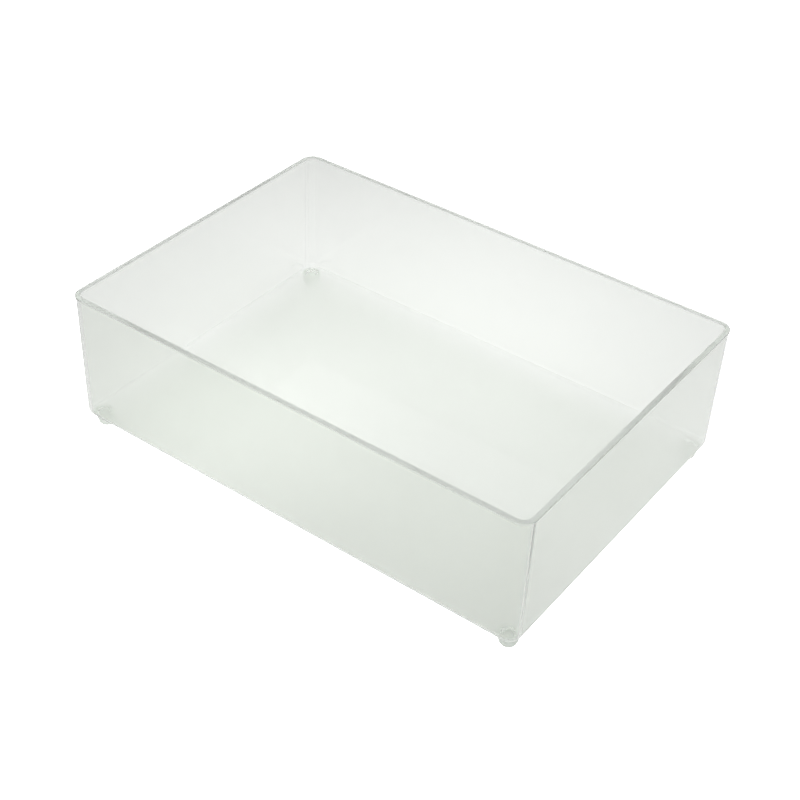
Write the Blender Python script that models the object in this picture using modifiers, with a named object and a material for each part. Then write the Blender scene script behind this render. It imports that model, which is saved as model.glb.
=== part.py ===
"""Clear open-topped storage box: one moulded shell that stands on four soft push-on feet.

Lengths are in metres and +Z is up. X runs along the box and Y across it, with the front at -Y.
The origin lies on the surface that the feet stand on, under the middle of the box.
"""

import math

import bmesh
import bpy

MM = 0.001

# The shell, measured over its rim
BOX_LENGTH = 300.0 * MM
BOX_WIDTH = 210.0 * MM
# From the underside of the floor to the top of the rim
SHELL_HEIGHT = 83.0 * MM
WALL = 2.5 * MM
FLOOR = 3.0 * MM
# Each wall leans outwards by this much, inside and out, so that the shell leaves its mould
DRAFT = math.radians(0.35)
# Outside of the rim, seen from above: every other upright corner follows it at an even distance
CORNER_RADIUS = 8.0 * MM
# Where the outside of the walls turns into the underside
BASE_FILLET = 5.5 * MM
# Where the inside of the walls turns into the floor
INSIDE_FILLET = 1.2 * MM

# The rim is a low band that stands proud of the outside of the wall and falls back to it below at 45 degrees
RIM_PROUD = 0.4 * MM
RIM_BAND = 1.2 * MM

# A foot is a soft cap with a closed sole. It is pushed over a peg moulded under the floor
FOOT_HEIGHT = 7.5 * MM
FOOT_RADIUS = 5.7 * MM
# Flat middle of the sole, which touches the table
FOOT_TREAD_RADIUS = 3.1 * MM
# From a foot's axis to the outside of the rim, at the ends of the box and at its sides
FOOT_INSET_ENDS = 9.5 * MM
FOOT_INSET_SIDES = 10.5 * MM
# Soft material beside the peg and under it
FOOT_SIDE = 1.8 * MM
FOOT_SOLE = 4.0 * MM
# The sharp lead-in at the free end of the peg is broken by this much
PEG_CHAMFER = 0.6 * MM
# Room between each foot and the shell
SEAT_GAP = 0.3 * MM

# How far a joining or cutting block runs on past the face that it meets
OVERRUN = 0.4 * MM

CORNER_STEPS = 10
FILLET_STEPS = 6
TURN_STEPS = 48
DOME_STEPS = 8
SMOOTH_ANGLE = math.radians(35.0)
MERGE_DISTANCE = 0.001 * MM

# Heights above the table
UNDERSIDE = FOOT_HEIGHT
RIM_TOP = UNDERSIDE + SHELL_HEIGHT
LEAN_PER_HEIGHT = math.tan(DRAFT)

FEET = {
    "foot_front_left": (-1, -1),
    "foot_front_right": (1, -1),
    "foot_back_left": (-1, 1),
    "foot_back_right": (1, 1),
}


def clear_scene():
    for old in list(bpy.data.objects):
        bpy.data.objects.remove(old, do_unlink=True)


def new_collection(name):
    collection = bpy.data.collections.new(name)
    bpy.context.scene.collection.children.link(collection)
    return collection


def clear_plastic(name, colour, roughness, refraction):
    """A see-through Principled material: the colour is linear, and the refraction is the plastic's index."""
    material = bpy.data.materials.new(name)
    material.use_nodes = True
    material.diffuse_color = (*colour, 1.0)
    shader = material.node_tree.nodes["Principled BSDF"]
    shader.inputs["Base Color"].default_value = (*colour, 1.0)
    shader.inputs["Roughness"].default_value = roughness
    shader.inputs["Metallic"].default_value = 0.0
    shader.inputs["IOR"].default_value = refraction
    shader.inputs["Transmission Weight"].default_value = 1.0
    return material


def object_from(mesh_data, name, collection):
    """Turns a bmesh into a named, smooth-shaded object."""
    mesh = bpy.data.meshes.new(name)
    mesh_data.to_mesh(mesh)
    mesh_data.free()
    mesh.shade_smooth()
    mesh.set_sharp_from_angle(angle=SMOOTH_ANGLE)
    made = bpy.data.objects.new(name, mesh)
    collection.objects.link(made)
    return made


def as_helper(helper):
    """Marks a cutter or a joining block, which is no piece of the box by itself."""
    helper.hide_render = True
    helper.display_type = "WIRE"
    return helper


def bevel_edges(mesh_data, edges, width, steps):
    bmesh.ops.bevel(
        mesh_data,
        geom=edges,
        offset=width,
        offset_type="OFFSET",
        segments=steps,
        profile=0.5,
        affect="EDGES",
        clamp_overlap=True,
    )


def leaning_block(length, width, bottom, top, lean):
    """A closed block, length by width at its top, whose four sides draw in towards the bottom."""
    block = bmesh.new()
    bmesh.ops.create_cube(block, size=1.0)
    for vertex in block.verts:
        upper = vertex.co.z > 0
        draw_in = 0 if upper else (top - bottom) * lean
        vertex.co.x = math.copysign(length / 2 - draw_in, vertex.co.x)
        vertex.co.y = math.copysign(width / 2 - draw_in, vertex.co.y)
        vertex.co.z = top if upper else bottom
    return block


def round_upright_edges(block, radius):
    upright = [edge for edge in block.edges if edge.verts[0].co.z != edge.verts[1].co.z]
    bevel_edges(block, upright, radius, CORNER_STEPS)


def bottom_edges(block):
    lowest = min(vertex.co.z for vertex in block.verts)
    return [edge for edge in block.edges if all(vertex.co.z == lowest for vertex in edge.verts)]


def walls_block(collection):
    """The outside of the shell below its rim: leaning walls, upright corners and the rounded base."""
    top = RIM_TOP - RIM_BAND / 2
    inset = RIM_PROUD + (RIM_TOP - top) * LEAN_PER_HEIGHT
    block = leaning_block(BOX_LENGTH - 2 * inset, BOX_WIDTH - 2 * inset, UNDERSIDE, top, LEAN_PER_HEIGHT)
    round_upright_edges(block, CORNER_RADIUS - RIM_PROUD)
    bevel_edges(block, bottom_edges(block), BASE_FILLET, FILLET_STEPS)
    return object_from(block, "box_shell", collection)


def rim_block(collection):
    """The band round the mouth, before the inside is cut out of it."""
    slope = RIM_PROUD + OVERRUN
    block = leaning_block(BOX_LENGTH, BOX_WIDTH, RIM_TOP - RIM_BAND - slope, RIM_TOP, 0)
    round_upright_edges(block, CORNER_RADIUS)
    bevel_edges(block, bottom_edges(block), slope, 1)
    return as_helper(object_from(block, "rim_block", collection))


def inside_cutter(collection):
    """The room inside the box, which leaves an even wall, the floor and a fillet between them."""
    top = RIM_TOP + OVERRUN
    inset = RIM_PROUD + WALL - OVERRUN * LEAN_PER_HEIGHT
    block = leaning_block(BOX_LENGTH - 2 * inset, BOX_WIDTH - 2 * inset, UNDERSIDE + FLOOR, top, LEAN_PER_HEIGHT)
    round_upright_edges(block, CORNER_RADIUS - RIM_PROUD - WALL)
    bevel_edges(block, bottom_edges(block), INSIDE_FILLET, FILLET_STEPS)
    return as_helper(object_from(block, "inside_cutter", collection))


def turned_mesh(name, outline):
    """The mesh of an outline of (radius, height) points, which a Screw modifier turns about Z."""
    profile = bmesh.new()
    points = [profile.verts.new((radius, 0, height)) for radius, height in outline]
    for start, end in zip(points, points[1:]):
        profile.edges.new((start, end))
    mesh = bpy.data.meshes.new(name)
    profile.to_mesh(mesh)
    profile.free()
    return mesh


def turned_object(name, mesh, place, collection):
    made = bpy.data.objects.new(name, mesh)
    made.location = place
    collection.objects.link(made)
    turn = made.modifiers.new("Turn", "SCREW")
    turn.axis = "Z"
    turn.angle = math.tau
    turn.steps = TURN_STEPS
    turn.render_steps = TURN_STEPS
    turn.use_smooth_shade = True
    turn.use_merge_vertices = True
    turn.merge_threshold = MERGE_DISTANCE
    return made


def peg_outline():
    """A peg from inside the floor down to its free end. Heights are measured from the underside of the floor."""
    radius = FOOT_RADIUS - FOOT_SIDE - SEAT_GAP
    end = FOOT_SOLE + SEAT_GAP - FOOT_HEIGHT
    return [
        (0, FLOOR / 2),
        (radius, FLOOR / 2),
        (radius, end + PEG_CHAMFER),
        (radius - PEG_CHAMFER, end),
        (0, end),
    ]


def foot_outline():
    """A soft foot: the blind hole for the peg, the flat top, the domed side and the flat tread.

    Heights are measured from the underside of the floor.
    """
    hole = FOOT_RADIUS - FOOT_SIDE
    dome_height = FOOT_HEIGHT - SEAT_GAP
    outline = [
        (0, FOOT_SOLE - FOOT_HEIGHT),
        (hole, FOOT_SOLE - FOOT_HEIGHT),
        (hole, -SEAT_GAP),
    ]
    for step in range(DOME_STEPS + 1):
        angle = math.pi / 2 * step / DOME_STEPS
        radius = FOOT_TREAD_RADIUS + (FOOT_RADIUS - FOOT_TREAD_RADIUS) * math.cos(angle)
        outline.append((radius, -SEAT_GAP - dome_height * math.sin(angle)))
    outline.append((0, -FOOT_HEIGHT))
    return outline


def foot_place(side_x, side_y):
    """Where a foot's axis meets the underside of the floor."""
    across = BOX_WIDTH / 2 - FOOT_INSET_SIDES
    along = BOX_LENGTH / 2 - FOOT_INSET_ENDS
    return (side_x * along, side_y * across, UNDERSIDE)


def join_or_cut(target, helper, operation):
    change = target.modifiers.new(helper.name, "BOOLEAN")
    change.operation = operation
    change.solver = "EXACT"
    change.object = helper


def build_shell(parts, helpers):
    shell = walls_block(parts)
    join_or_cut(shell, rim_block(helpers), "UNION")
    peg_mesh = turned_mesh("peg", peg_outline())
    for foot, sides in FEET.items():
        peg = as_helper(turned_object("peg_" + foot, peg_mesh, foot_place(*sides), helpers))
        join_or_cut(shell, peg, "UNION")
    join_or_cut(shell, inside_cutter(helpers), "DIFFERENCE")
    shell.data.materials.append(clear_plastic("Clear polystyrene", (0.90, 0.95, 0.91), 0.06, 1.59))


def build_feet(parts):
    foot_mesh = turned_mesh("foot", foot_outline())
    foot_mesh.materials.append(clear_plastic("Clear soft vinyl", (0.80, 0.87, 0.81), 0.25, 1.53))
    for name, sides in FEET.items():
        turned_object(name, foot_mesh, foot_place(*sides), parts)


def main():
    clear_scene()
    parts = new_collection("Clear storage box")
    helpers = new_collection("Cutters and joining blocks")
    build_shell(parts, helpers)
    build_feet(parts)


main()
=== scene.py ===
"""Looks of a clear open-topped storage box: a moulded polystyrene shell that stands on four soft vinyl feet.

Lengths are in metres and +Z is up. X runs along the box and Y across it, with the front at -Y, as in the
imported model.
"""

import math

import bmesh
import bpy
from mathutils import Matrix, Vector


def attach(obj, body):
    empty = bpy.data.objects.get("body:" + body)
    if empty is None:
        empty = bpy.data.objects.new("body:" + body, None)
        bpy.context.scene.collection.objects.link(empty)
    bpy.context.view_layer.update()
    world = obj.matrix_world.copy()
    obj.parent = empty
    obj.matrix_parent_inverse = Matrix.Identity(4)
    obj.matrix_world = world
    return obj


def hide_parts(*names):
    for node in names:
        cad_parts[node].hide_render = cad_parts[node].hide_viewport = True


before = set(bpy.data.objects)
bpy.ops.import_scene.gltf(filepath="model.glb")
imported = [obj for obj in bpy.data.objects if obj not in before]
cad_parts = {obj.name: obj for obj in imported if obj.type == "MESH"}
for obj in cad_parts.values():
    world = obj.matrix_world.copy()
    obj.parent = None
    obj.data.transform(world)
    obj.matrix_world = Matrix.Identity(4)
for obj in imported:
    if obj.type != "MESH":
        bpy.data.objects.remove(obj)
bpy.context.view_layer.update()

MM = 0.001

# The shell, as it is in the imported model
BOX_LENGTH = 300.0 * MM
BOX_WIDTH = 210.0 * MM
UNDERSIDE = 7.5 * MM
RIM_TOP = 90.5 * MM
WALL = 2.5 * MM
FLOOR = 3.0 * MM
DRAFT = math.radians(0.35)
CORNER_RADIUS = 8.0 * MM
BASE_FILLET = 5.5 * MM
INSIDE_FILLET = 1.2 * MM
RIM_PROUD = 0.4 * MM
RIM_BAND = 1.2 * MM
# No edge leaves a mould quite sharp
EDGE_ROUND = 0.2 * MM

# The feet and the pegs that carry them
FOOT_RADIUS = 5.7 * MM
FOOT_TREAD_RADIUS = 3.1 * MM
FOOT_INSET_ENDS = 9.5 * MM
FOOT_INSET_SIDES = 10.5 * MM
FOOT_SIDE = 1.8 * MM
FOOT_SOLE = 4.0 * MM
FOOT_EDGE_ROUND = 0.35 * MM
PEG_CHAMFER = 0.6 * MM
PEG_ROOT_FILLET = 0.2 * MM
# A peg starts just inside the floor, so that no face of it lies in the plane of the underside
PEG_SINK = 0.01 * MM
SEAT_GAP = 0.3 * MM
FEET = {
    "foot_front_left": (-1, -1),
    "foot_front_right": (1, -1),
    "foot_back_left": (-1, 1),
    "foot_back_right": (1, 1),
}

# A narrow flat ring after the last bend, which keeps the shading of the flat inside it even
FLOOR_RING = 1.0 * MM
PEG_RING = 0.4 * MM
FOOT_RING = 0.5 * MM

# How many faces each bend has
CORNER_STEPS = 40
EDGE_STEPS = 4
UNDER_BAND_STEPS = 3
INSIDE_FILLET_STEPS = 10
BASE_FILLET_STEPS = 12
FOOT_EDGE_STEPS = 5
DOME_STEPS = 14
TURN_STEPS = 64
MERGE_DISTANCE = 0.002 * MM

# Directions in which a profile leaves the edge of a flat end: towards its middle, out along its normal, back
# into the piece, and between the first two
INWARD = 0.0
OUT = math.pi / 2
BACK = -math.pi / 2
SLANT = math.radians(45)


def linear(colour):
    """An sRGB hex colour as the linear colour that a shader reads."""
    parts = [int(colour[i:i + 2], 16) / 255 for i in (1, 3, 5)]
    return tuple(p / 12.92 if p <= 0.04045 else ((p + 0.055) / 1.055) ** 2.4 for p in parts) + (1.0,)


def node(tree, kind, settings=None, numbered=None, **named):
    """Adds a node. Settings are its own properties, and each value or link goes to the input of that name.

    Inputs that share a name are given by number.
    """
    made = tree.nodes.new(kind)
    for name, value in (settings or {}).items():
        setattr(made, name, value)
    inputs = {name.replace("_", " "): value for name, value in named.items()}
    inputs.update(numbered or {})
    for key, value in inputs.items():
        if isinstance(value, bpy.types.NodeSocket):
            tree.links.new(value, made.inputs[key])
        else:
            made.inputs[key].default_value = value
    return made


# Modelling steps

def choose(piece):
    """Selects the piece alone."""
    bpy.ops.object.select_all(action="DESELECT")
    piece.select_set(True)
    bpy.context.view_layer.objects.active = piece


def open_for_editing(piece):
    choose(piece)
    bpy.ops.object.mode_set(mode="EDIT")
    bpy.ops.mesh.select_mode(type="FACE")
    bpy.ops.mesh.select_all(action="DESELECT")


def close_editing():
    bpy.ops.object.mode_set(mode="OBJECT")


def settle(piece):
    """Puts the piece's place into its mesh."""
    choose(piece)
    bpy.ops.object.transform_apply(location=True, rotation=True, scale=True)


def select_end(piece, upwards):
    """Selects the one flat face that closes the top or the bottom."""
    mesh = bmesh.from_edit_mesh(piece.data)
    bpy.ops.mesh.select_all(action="DESELECT")
    pick = max if upwards else min
    end = pick(mesh.faces, key=lambda face: face.normal.z + face.calc_center_median().z)
    end.select_set(True)
    mesh.faces.active = end
    bmesh.update_edit_mesh(piece.data)


def follow(piece, upwards, moves):
    """Draws the end face in, move by move, so that each leaves a ring of faces behind it.

    A move is how far it goes inwards and how far out along the normal of the end.
    """
    open_for_editing(piece)
    select_end(piece, upwards)
    for inwards, along in moves:
        bpy.ops.mesh.inset(thickness=inwards, depth=along, use_even_offset=True)
    close_editing()


def move(direction, length):
    return math.cos(direction) * length, math.sin(direction) * length


def straight(direction, length):
    return [move(direction, length)]


def bend(start, end, radius, steps):
    """The moves round a bend of that radius, from one direction to another."""
    turn = (end - start) / steps
    chord = 2 * radius * math.sin(abs(turn) / 2)
    return [move(start + turn * (i + 0.5), chord) for i in range(steps)]


def reach_inwards(moves):
    return sum(inwards for inwards, along in moves)


def reach_along(moves):
    return sum(along for inwards, along in moves)


def finish_surface(piece):
    """Merges doubles, turns every face outwards, and shades smooth with the flats kept flat."""
    open_for_editing(piece)
    bpy.ops.mesh.select_all(action="SELECT")
    bpy.ops.mesh.remove_doubles(threshold=MERGE_DISTANCE)
    bpy.ops.mesh.normals_make_consistent(inside=False)
    close_editing()
    bpy.ops.object.shade_smooth()
    flats = piece.modifiers.new("Flats stay flat", "WEIGHTED_NORMAL")
    flats.mode = "FACE_AREA"
    flats.weight = 100
    flats.thresh = 0.01
    bpy.ops.object.modifier_apply(modifier=flats.name)


# The shell

def rim_and_inside():
    """From the band over the rim, down the inside and on to the floor."""
    over_edge = bend(OUT, INWARD, EDGE_ROUND, EDGE_STEPS)
    into_mouth = bend(INWARD, BACK + DRAFT, EDGE_ROUND, EDGE_STEPS)
    onto_floor = bend(BACK + DRAFT, INWARD, INSIDE_FILLET, INSIDE_FILLET_STEPS)
    land = straight(INWARD, RIM_PROUD + WALL - reach_inwards(over_edge + into_mouth))
    height = RIM_TOP - UNDERSIDE - FLOOR + reach_along(into_mouth + onto_floor)
    wall = straight(BACK + DRAFT, height / math.cos(DRAFT))
    return over_edge + land + into_mouth + wall + onto_floor + straight(INWARD, FLOOR_RING)


def outside_and_underside():
    """From the band back to the wall, down it and on to the underside."""
    under_band = bend(OUT, SLANT, EDGE_ROUND, UNDER_BAND_STEPS)
    onto_wall = bend(SLANT, OUT - DRAFT, EDGE_ROUND, UNDER_BAND_STEPS)
    back_to_wall = straight(SLANT, (RIM_PROUD - reach_inwards(under_band + onto_wall)) / math.cos(SLANT))
    onto_underside = bend(OUT - DRAFT, INWARD, BASE_FILLET, BASE_FILLET_STEPS)
    above_wall = under_band + back_to_wall + onto_wall
    height = RIM_TOP - UNDERSIDE - RIM_BAND + EDGE_ROUND - reach_along(above_wall + onto_underside)
    wall = straight(OUT - DRAFT, height / math.cos(DRAFT))
    return above_wall + wall + onto_underside + straight(INWARD, FLOOR_RING)


def shell_walls():
    """Rim, walls, floor and fillets, followed up and down from the band of the rim."""
    bpy.ops.mesh.primitive_cube_add(
        size=1,
        location=(0, 0, RIM_TOP - RIM_BAND / 2),
        scale=(BOX_LENGTH, BOX_WIDTH, RIM_BAND - 2 * EDGE_ROUND),
    )
    shell = bpy.context.object
    shell.name = "clear_shell"
    settle(shell)

    # The four upright corners
    open_for_editing(shell)
    bpy.ops.mesh.select_mode(type="EDGE")
    for edge in bmesh.from_edit_mesh(shell.data).edges:
        edge.select_set(edge.verts[0].co.z != edge.verts[1].co.z)
    bmesh.update_edit_mesh(shell.data)
    bpy.ops.mesh.bevel(offset=CORNER_RADIUS, segments=CORNER_STEPS, profile=0.5, affect="EDGES")
    close_editing()

    follow(shell, True, rim_and_inside())
    follow(shell, False, outside_and_underside())
    return shell


def foot_place(side_x, side_y):
    """Where a foot's axis meets the underside of the floor."""
    across = BOX_WIDTH / 2 - FOOT_INSET_SIDES
    along = BOX_LENGTH / 2 - FOOT_INSET_ENDS
    return Vector((side_x * along, side_y * across, UNDERSIDE))


def peg(place):
    """A round peg, with a small root fillet under the floor and a chamfered free end."""
    radius = FOOT_RADIUS - FOOT_SIDE - SEAT_GAP
    top = UNDERSIDE + FLOOR / 2
    start = UNDERSIDE + PEG_SINK
    free_end = FOOT_SOLE + SEAT_GAP
    bpy.ops.mesh.primitive_cylinder_add(
        vertices=TURN_STEPS,
        radius=radius + PEG_ROOT_FILLET,
        depth=top - start,
        end_fill_type="NGON",
        location=(place.x, place.y, (top + start) / 2),
    )
    made = bpy.context.object
    settle(made)
    root = bend(INWARD, OUT, PEG_ROOT_FILLET, EDGE_STEPS)
    side = straight(OUT, start - free_end - PEG_ROOT_FILLET - PEG_CHAMFER)
    chamfer = straight(SLANT, PEG_CHAMFER / math.cos(SLANT))
    follow(made, False, root + side + chamfer + straight(INWARD, PEG_RING))
    return made


def clear_shell():
    """The walls and floor, with the four pegs joined on."""
    shell = shell_walls()
    for sides in FEET.values():
        stub = peg(foot_place(*sides))
        join = shell.modifiers.new("Peg", "BOOLEAN")
        join.operation = "UNION"
        join.solver = "EXACT"
        join.object = stub
        choose(shell)
        bpy.ops.object.modifier_apply(modifier=join.name)
        bpy.data.objects.remove(stub)
    finish_surface(shell)
    return shell


# The feet

def soft_foot():
    """A soft cap: domed side, flat tread, and a blind hole from above for the peg."""
    place = foot_place(*FEET["foot_front_left"])
    top = UNDERSIDE - SEAT_GAP
    bpy.ops.mesh.primitive_cylinder_add(
        vertices=TURN_STEPS,
        radius=FOOT_RADIUS,
        depth=FOOT_EDGE_ROUND,
        end_fill_type="NGON",
        location=(place.x, place.y, top - FOOT_EDGE_ROUND - FOOT_EDGE_ROUND / 2),
    )
    foot = bpy.context.object
    settle(foot)

    # Down the domed side to the flat tread
    dome_width = FOOT_RADIUS - FOOT_TREAD_RADIUS
    dome_height = top - 2 * FOOT_EDGE_ROUND
    turns = [math.pi / 2 * i / DOME_STEPS for i in range(DOME_STEPS + 1)]
    dome = [
        (dome_width * (math.cos(a) - math.cos(b)), dome_height * (math.sin(b) - math.sin(a)))
        for a, b in zip(turns, turns[1:])
    ]
    follow(foot, False, dome + straight(INWARD, FOOT_RING))

    # Over the top and down the hole
    over_edge = bend(OUT, INWARD, FOOT_EDGE_ROUND, FOOT_EDGE_STEPS)
    land = straight(INWARD, FOOT_SIDE - FOOT_EDGE_ROUND - EDGE_ROUND)
    into_hole = bend(INWARD, BACK, EDGE_ROUND, EDGE_STEPS)
    down = straight(BACK, top - FOOT_SOLE - 2 * EDGE_ROUND)
    onto_sole = bend(BACK, INWARD, EDGE_ROUND, EDGE_STEPS)
    follow(foot, True, over_edge + land + into_hole + down + onto_sole + straight(INWARD, FOOT_RING))
    finish_surface(foot)
    return foot


def four_feet():
    """One foot is modelled, and copied to the other three corners."""
    first = soft_foot()
    start = foot_place(*FEET["foot_front_left"])
    feet = {}
    for name, sides in FEET.items():
        foot = first if name == "foot_front_left" else first.copy()
        if foot is not first:
            foot.data = first.data.copy()
            bpy.context.scene.collection.objects.link(foot)
            foot.data.transform(Matrix.Translation(foot_place(*sides) - start))
        foot.name = "soft_" + name
        foot.data.name = foot.name
        feet[name] = foot
    return feet


# Materials

# The Mix node has a set of sockets for each kind of value. These are the ones for colours
FIRST_COLOUR = 6
SECOND_COLOUR = 7
MIXED_COLOUR = 2

# Roughness of the polished walls, how much it varies, and what the textured base and rim add to it
WALL_POLISH = 0.10
POLISH_VARIES = 0.03
BASE_MATT = 0.26
RIM_MATT = 0.32
# Heights at which the base and the rim are wholly matt, and at which they are polished again
BASE_MATT_BELOW = UNDERSIDE + 1.0 * MM
BASE_POLISHED_ABOVE = UNDERSIDE + FLOOR - 0.1 * MM
RIM_MATT_ABOVE = RIM_TOP - 0.4 * MM
RIM_POLISHED_BELOW = RIM_TOP - 2.0 * MM
VINYL_SMOOTHEST = 0.36
VINYL_ROUGHEST = 0.46

# How fine each pattern is, in repeats to a metre, and how far it stands out of the surface
FLOW_WAVES = 16.0
FLOW_WAVE_HEIGHT = 0.2 * MM
WALL_HAZE = 250.0
VINYL_CLOUDS = 500.0
VINYL_GRAIN = 3000.0
VINYL_GRAIN_HEIGHT = 0.03 * MM

POLYSTYRENE_REFRACTION = 1.59
VINYL_REFRACTION = 1.53


def empty_material(name):
    """A material with no finish yet, its nodes, and the place on the piece that its patterns follow."""
    material = bpy.data.materials.new(name)
    material.use_nodes = True
    tree = material.node_tree
    tree.nodes.clear()
    return material, tree, node(tree, "ShaderNodeTexCoord").outputs["Object"]


def polished_polystyrene():
    """Clear general-purpose polystyrene, injection moulded in a polished mould.

    It is water clear with a faint green cast, which the eye sees where it looks along a wall, at the rim and
    the upright corners. The polished mould leaves a gloss, with slow waves that the plastic froze in as it
    flowed. The mould is a little matt under the base and on the rim, which blurs what shows through them.
    """
    material, tree, place = empty_material("Clear polystyrene, polished mould")

    # The waves are about 60 mm long, and the haze is about 4 mm across
    waves = node(
        tree,
        "ShaderNodeTexNoise",
        Vector=place,
        Scale=FLOW_WAVES,
        Detail=1.0,
        Roughness=0.4,
    ).outputs["Fac"]
    haze = node(
        tree,
        "ShaderNodeTexNoise",
        Vector=place,
        Scale=WALL_HAZE,
        Detail=3.0,
        Roughness=0.6,
    ).outputs["Fac"]
    tints = {FIRST_COLOUR: linear("#F2F4F1"), SECOND_COLOUR: linear("#F4F6F3")}
    tint = node(tree, "ShaderNodeMix", {"data_type": "RGBA"}, tints, Factor=waves).outputs[MIXED_COLOUR]
    bump = node(tree, "ShaderNodeBump", Strength=0.06, Distance=FLOW_WAVE_HEIGHT, Height=waves)

    height = node(tree, "ShaderNodeSeparateXYZ", Vector=place).outputs["Z"]
    base = node(
        tree,
        "ShaderNodeMapRange",
        {"interpolation_type": "SMOOTHSTEP"},
        Value=height,
        From_Min=BASE_POLISHED_ABOVE,
        From_Max=BASE_MATT_BELOW,
        To_Min=0.0,
        To_Max=BASE_MATT,
    ).outputs["Result"]
    rim = node(
        tree,
        "ShaderNodeMapRange",
        {"interpolation_type": "SMOOTHSTEP"},
        Value=height,
        From_Min=RIM_POLISHED_BELOW,
        From_Max=RIM_MATT_ABOVE,
        To_Min=0.0,
        To_Max=RIM_MATT,
    ).outputs["Result"]
    polish = node(
        tree,
        "ShaderNodeMapRange",
        Value=haze,
        To_Min=WALL_POLISH - POLISH_VARIES,
        To_Max=WALL_POLISH + POLISH_VARIES,
    ).outputs["Result"]
    matt = node(tree, "ShaderNodeMath", {"operation": "ADD"}, {0: base, 1: rim}).outputs["Value"]
    rough = node(tree, "ShaderNodeMath", {"operation": "ADD"}, {0: polish, 1: matt}).outputs["Value"]

    shader = node(
        tree,
        "ShaderNodeBsdfPrincipled",
        Base_Color=tint,
        Roughness=rough,
        IOR=POLYSTYRENE_REFRACTION,
        Transmission_Weight=1.0,
        Normal=bump.outputs["Normal"],
    )
    body = node(tree, "ShaderNodeVolumeAbsorption", Color=linear("#E8EDE8"), Density=4.0)
    node(tree, "ShaderNodeOutputMaterial", Surface=shader.outputs["BSDF"], Volume=body.outputs["Volume"])
    return material


def soft_vinyl():
    """Clear plasticised vinyl, moulded. It is a little cloudy and satin, and blurs what shows through it."""
    material, tree, place = empty_material("Clear soft vinyl, satin")

    # The clouds are about 2 mm across, and the satin grain is about 0.3 mm
    clouds = node(
        tree,
        "ShaderNodeTexNoise",
        Vector=place,
        Scale=VINYL_CLOUDS,
        Detail=2.0,
        Roughness=0.5,
    ).outputs["Fac"]
    grain = node(
        tree,
        "ShaderNodeTexNoise",
        Vector=place,
        Scale=VINYL_GRAIN,
        Detail=2.0,
        Roughness=0.6,
    ).outputs["Fac"]
    tints = {FIRST_COLOUR: linear("#F4F6F4"), SECOND_COLOUR: linear("#F7F8F6")}
    tint = node(tree, "ShaderNodeMix", {"data_type": "RGBA"}, tints, Factor=clouds).outputs[MIXED_COLOUR]
    bump = node(tree, "ShaderNodeBump", Strength=0.1, Distance=VINYL_GRAIN_HEIGHT, Height=grain)
    rough = node(
        tree,
        "ShaderNodeMapRange",
        Value=clouds,
        To_Min=VINYL_SMOOTHEST,
        To_Max=VINYL_ROUGHEST,
    ).outputs["Result"]

    shader = node(
        tree,
        "ShaderNodeBsdfPrincipled",
        Base_Color=tint,
        Roughness=rough,
        IOR=VINYL_REFRACTION,
        Transmission_Weight=1.0,
        Normal=bump.outputs["Normal"],
    )
    body = node(tree, "ShaderNodeVolumeAbsorption", Color=linear("#D8E6D8"), Density=12.0)
    node(tree, "ShaderNodeOutputMaterial", Surface=shader.outputs["BSDF"], Volume=body.outputs["Volume"])
    return material


# Painted pools of light in the paper's colour: x, y and reach. The first is wide, and the second lies under
# the box
WIDE_POOL = (-29 * MM, 71 * MM, 433 * MM)
TIGHT_POOL = (-81 * MM, -43 * MM, 124 * MM)
TIGHT_SHARE = 0.85
PAPER = "#C7C7C7"
PAPER_LIT = "#F3F3F3"
PAPER_WHITE = "#FFFFFF"
PAPER_ROUGHNESS = 0.3
# The paper where the camera sees it straight on, and the glare that burns it out to white
THIN_PAPER = "#959595"
GLARE_STRENGTH = 2.5


def pool_of_light(tree, place, x, y, across):
    """How much of a soft round painted pool of light each spot gets, from 0 to 1."""
    pool = node(
        tree,
        "ShaderNodeMapping",
        {"vector_type": "TEXTURE"},
        Vector=place,
        Location=(x, y, 0),
        Scale=(across, across, 1),
    ).outputs["Vector"]
    glow = node(tree, "ShaderNodeTexGradient", {"gradient_type": "SPHERICAL"}, Vector=pool).outputs["Fac"]
    soft = node(tree, "ShaderNodeMapRange", {"interpolation_type": "SMOOTHSTEP"}, Value=glow)
    return soft.outputs["Result"]


def matt_paper():
    """White paper of the sweep. Two soft pools of light are painted into its colour and whiten it where the
    box stands.
    """
    material, tree, place = empty_material("White paper sweep")

    # Painted light: the paper's colour is greyer away from the pools and whiter in them, most of all under
    # the box
    wide = pool_of_light(tree, place, *WIDE_POOL)
    tones = {FIRST_COLOUR: linear(PAPER), SECOND_COLOUR: linear(PAPER_LIT)}
    lit = node(tree, "ShaderNodeMix", {"data_type": "RGBA"}, tones, Factor=wide).outputs[MIXED_COLOUR]
    pool = pool_of_light(tree, place, *TIGHT_POOL)
    tight = node(tree, "ShaderNodeMapRange", Value=pool, To_Min=0.0, To_Max=TIGHT_SHARE).outputs["Result"]
    tones = {FIRST_COLOUR: lit, SECOND_COLOUR: linear(PAPER_WHITE)}
    tint = node(tree, "ShaderNodeMix", {"data_type": "RGBA"}, tones, Factor=tight).outputs[MIXED_COLOUR]
    paper = node(tree, "ShaderNodeBsdfDiffuse", Color=tint, Roughness=PAPER_ROUGHNESS).outputs["BSDF"]

    # Seen straight on the paper is overexposed to white, and through the plastic it keeps its tone
    thin_paper = node(tree, "ShaderNodeBsdfDiffuse", Color=linear(THIN_PAPER), Roughness=PAPER_ROUGHNESS)
    glare = node(tree, "ShaderNodeEmission", Color=linear(PAPER_WHITE), Strength=GLARE_STRENGTH)
    both = {0: thin_paper.outputs["BSDF"], 1: glare.outputs["Emission"]}
    burnt_out = node(tree, "ShaderNodeAddShader", None, both).outputs["Shader"]
    straight_on = node(tree, "ShaderNodeLightPath").outputs["Is Camera Ray"]
    seen = node(tree, "ShaderNodeMixShader", None, {1: paper, 2: burnt_out}, Fac=straight_on)
    node(tree, "ShaderNodeOutputMaterial", Surface=seen.outputs["Shader"])
    return material


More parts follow.
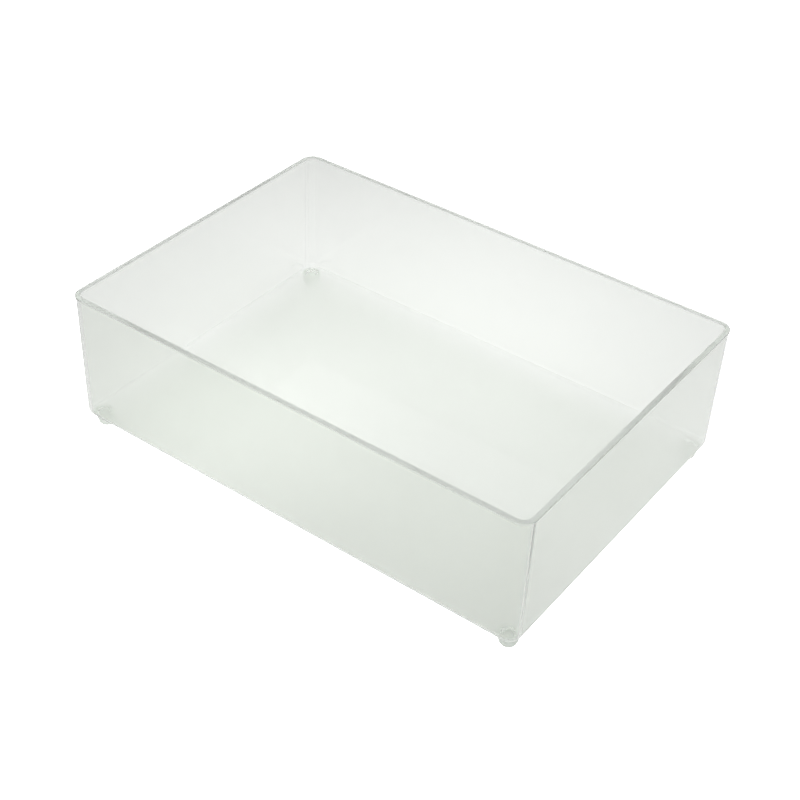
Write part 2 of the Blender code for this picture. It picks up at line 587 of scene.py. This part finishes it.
# Stage, light and camera

FLOOR_REACH = 1.6
BACKDROP_BEND = 0.9
BACKDROP_SIDES = 96
BACKDROP_STEPS = 10
TENT_STRENGTH = 1.35

CAMERA_AZIMUTH = math.radians(34.825)
CAMERA_ELEVATION = math.radians(37.780)
CAMERA_LEAN = math.radians(2.808)
CAMERA_TARGET = Vector((-14.462 * MM, 22.894 * MM, UNDERSIDE))
CAMERA_DISTANCE = 913.68 * MM
# Focal length and width of the sensor, in millimetres as Blender takes them
CAMERA_LENS = 69.037
SENSOR_WIDTH = 36.0
# What the camera can see starts and ends this far from it
NEAREST = 0.01
FARTHEST = 50.0


def sweep():
    """A round white floor that curves up into a low backdrop all round."""
    bpy.ops.mesh.primitive_circle_add(
        vertices=BACKDROP_SIDES,
        radius=FLOOR_REACH,
        fill_type="NGON",
        location=(0, 0, 0),
    )
    floor = bpy.context.object
    floor.name = "floor_and_backdrop"
    open_for_editing(floor)
    bpy.ops.mesh.select_mode(type="EDGE")
    bpy.ops.mesh.select_all(action="SELECT")
    turn = math.pi / 2 / BACKDROP_STEPS
    run = 2 * BACKDROP_BEND * math.sin(turn / 2)
    for i in range(BACKDROP_STEPS):
        angle = turn * (i + 0.5)
        outer = max(vertex.co.xy.length for vertex in bmesh.from_edit_mesh(floor.data).verts)
        grow = (outer + run * math.cos(angle)) / outer
        bpy.ops.mesh.extrude_edges_move(TRANSFORM_OT_translate={"value": (0, 0, run * math.sin(angle))})
        bpy.ops.transform.resize(value=(grow, grow, 1), center_override=(0, 0, 0))
    close_editing()
    bpy.ops.object.shade_smooth()
    floor.data.materials.append(matt_paper())


def light_tent():
    """Even white light from all round."""
    world = bpy.data.worlds.new("Soft studio light")
    world.use_nodes = True
    bpy.context.scene.world = world
    tree = world.node_tree
    tree.nodes.clear()
    tent = node(tree, "ShaderNodeBackground", Color=linear("#FFFFFF"), Strength=TENT_STRENGTH)
    node(tree, "ShaderNodeOutputWorld", Surface=tent.outputs["Background"])


def camera():
    """Stands where the photograph was taken from, and leans a little to one side."""
    back = Vector((
        math.sin(CAMERA_AZIMUTH) * math.cos(CAMERA_ELEVATION),
        -math.cos(CAMERA_AZIMUTH) * math.cos(CAMERA_ELEVATION),
        math.sin(CAMERA_ELEVATION),
    ))
    level = Vector((math.cos(CAMERA_AZIMUTH), math.sin(CAMERA_AZIMUTH), 0))
    upright = back.cross(level)
    right = level * math.cos(CAMERA_LEAN) + upright * math.sin(CAMERA_LEAN)
    up = upright * math.cos(CAMERA_LEAN) - level * math.sin(CAMERA_LEAN)
    data = bpy.data.cameras.new("camera")
    data.sensor_width = SENSOR_WIDTH
    data.lens = CAMERA_LENS
    data.clip_start = NEAREST
    data.clip_end = FARTHEST
    made = bpy.data.objects.new("camera", data)
    bpy.context.scene.collection.objects.link(made)
    turned = Matrix((right, up, back)).transposed().to_4x4()
    made.matrix_world = Matrix.Translation(CAMERA_TARGET + back * CAMERA_DISTANCE) @ turned
    bpy.context.scene.camera = made


def light_paths():
    """Light crosses many faces of clear plastic before it leaves, so paths are long."""
    scene = bpy.context.scene
    scene.cycles.max_bounces = 64
    scene.cycles.transmission_bounces = 64
    scene.cycles.glossy_bounces = 32
    scene.cycles.diffuse_bounces = 6
    scene.cycles.use_denoising = True
    scene.cycles.blur_glossy = 0.0
    scene.view_settings.view_transform = "Standard"


def main():
    shell = clear_shell()
    shell.data.materials.append(polished_polystyrene())
    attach(shell, "root")
    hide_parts("box_shell")
    vinyl = soft_vinyl()
    for name, foot in four_feet().items():
        foot.data.materials.append(vinyl)
        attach(foot, "root")
        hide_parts(name)
    sweep()
    light_tent()
    camera()
    light_paths()


main()
